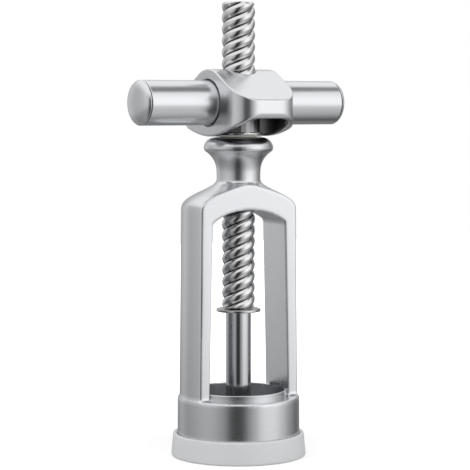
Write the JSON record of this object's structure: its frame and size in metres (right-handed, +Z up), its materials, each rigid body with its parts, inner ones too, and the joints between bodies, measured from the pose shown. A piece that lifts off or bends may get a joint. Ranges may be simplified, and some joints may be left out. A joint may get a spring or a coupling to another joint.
{
  "type": "corkscrew",
  "caption": "Bell-frame corkscrew: a T handle turns a nut on a coarse screw spindle, which lifts the sheathed worm through an arched, open metal frame.",
  "frame": {"origin": "on the spindle's axis, at the underside of the bottle ring", "axes": "+Z up along the spindle, +X across the frame's two legs, +Y out of the back window"},
  "size_m": [0.0964, 0.0546, 0.1825],
  "materials": {
    "bell_frame": "satin cast metal, plated",
    "bottle_ring": "milky translucent plastic",
    "guide_bush": "moulded plastic",
    "thrust_washer": "ground steel",
    "handle_hub": "satin cast metal, plated",
    "spindle_nut": "turned steel",
    "grub_screw_front": "plain steel",
    "grub_screw_back": "plain steel",
    "bar_stud_left": "plain steel",
    "bar_stud_right": "plain steel",
    "handle_bar_left": "satin turned aluminium",
    "handle_bar_right": "satin turned aluminium",
    "end_cap_left": "satin turned aluminium",
    "end_cap_right": "satin turned aluminium",
    "spindle": "polished steel thread",
    "stop_washer": "polished steel",
    "worm": "bright steel wire",
    "worm_pin": "plain steel",
    "worm_sheath": "polished steel tube"
  },
  "bodies": {
    "frame": {"bell_frame": "bell_frame", "bottle_ring": "bottle_ring", "guide_bush": "guide_bush", "thrust_washer": "thrust_washer"},
    "handle": {"handle_hub": "handle_hub", "spindle_nut": "spindle_nut", "grub_screw_front": "grub_screw_front", "grub_screw_back": "grub_screw_back", "bar_stud_left": "bar_stud_left", "bar_stud_right": "bar_stud_right", "handle_bar_left": "handle_bar_left", "handle_bar_right": "handle_bar_right", "end_cap_left": "end_cap_left", "end_cap_right": "end_cap_right"},
    "spindle": {"spindle": "spindle", "stop_washer": "stop_washer", "worm": "worm", "worm_pin": "worm_pin"},
    "sheath": {"worm_sheath": "worm_sheath"}
  },
  "joints": [
    {"name": "handle_turn", "type": "hinge", "parent": "frame", "child": "handle", "pos_m": [0, 0, 0.1424], "axis": [0, 0, 1], "range_deg": [-990, 678]},
    {"name": "spindle_rise", "type": "slide", "parent": "frame", "child": "spindle", "axis": [0, 0, 1], "range_m": [-0.026, 0.038]},
    {"name": "sheath_slide", "type": "slide", "parent": "spindle", "child": "sheath", "axis": [0, 0, -1], "range_m": [0, 0.056]}
  ],
  "couplings": [
    {"joint": "spindle_rise", "follows": "handle_turn", "m_per_rad": -0.0021963}
  ]
}
